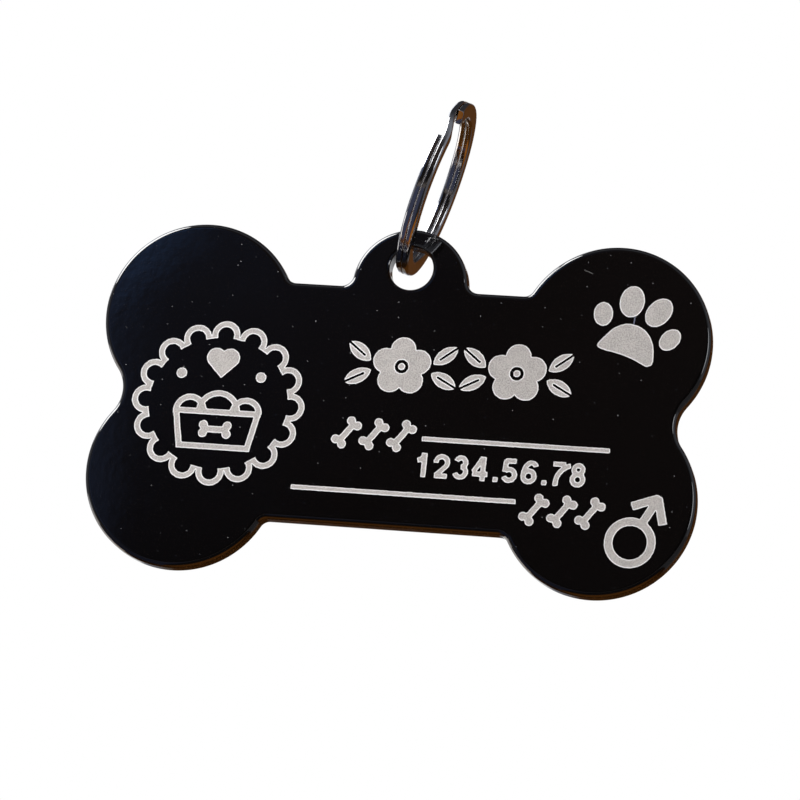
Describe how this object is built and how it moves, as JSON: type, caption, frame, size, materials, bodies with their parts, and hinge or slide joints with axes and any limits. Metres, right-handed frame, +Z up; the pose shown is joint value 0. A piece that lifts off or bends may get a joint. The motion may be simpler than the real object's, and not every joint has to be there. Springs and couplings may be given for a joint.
{
  "type": "pet id tag",
  "caption": "Bone-shaped black metal pet id tag with engraved marks, swinging from a split ring through its lug.",
  "frame": {"origin": "the ring's eye: the innermost point at the top of the split ring, where a collar's ring carries it", "axes": "+Z up, +X along the tag's length to the right as its engraved front is read, the front faces -Y"},
  "size_m": [0.05, 0.015, 0.0404],
  "materials": {
    "black_coat": "mirror-gloss black coat over metal, faint navy sheen, fine dust",
    "bared_metal": "matte, finely grained metal bared by engraving",
    "ring_metal": "bright nickel-plated wire"
  },
  "bodies": {
    "ring": {"split_ring": "ring_metal"},
    "tag": {"tag_plate": "black_coat", "picture_mark": "bared_metal", "blossom_marks": "bared_metal", "number_marks": "bared_metal", "paw_mark": "bared_metal", "male_mark": "bared_metal", "upper_bone_marks": "bared_metal", "lower_bone_marks": "bared_metal", "upper_rule_mark": "bared_metal", "lower_rule_mark": "bared_metal"}
  },
  "joints": [
    {"name": "tag_swing", "type": "hinge", "parent": "ring", "child": "tag", "pos_m": [-0.0036, 0, -0.01254], "axis": [0, 1, 0], "range_deg": [-62, 92]}
  ]
}
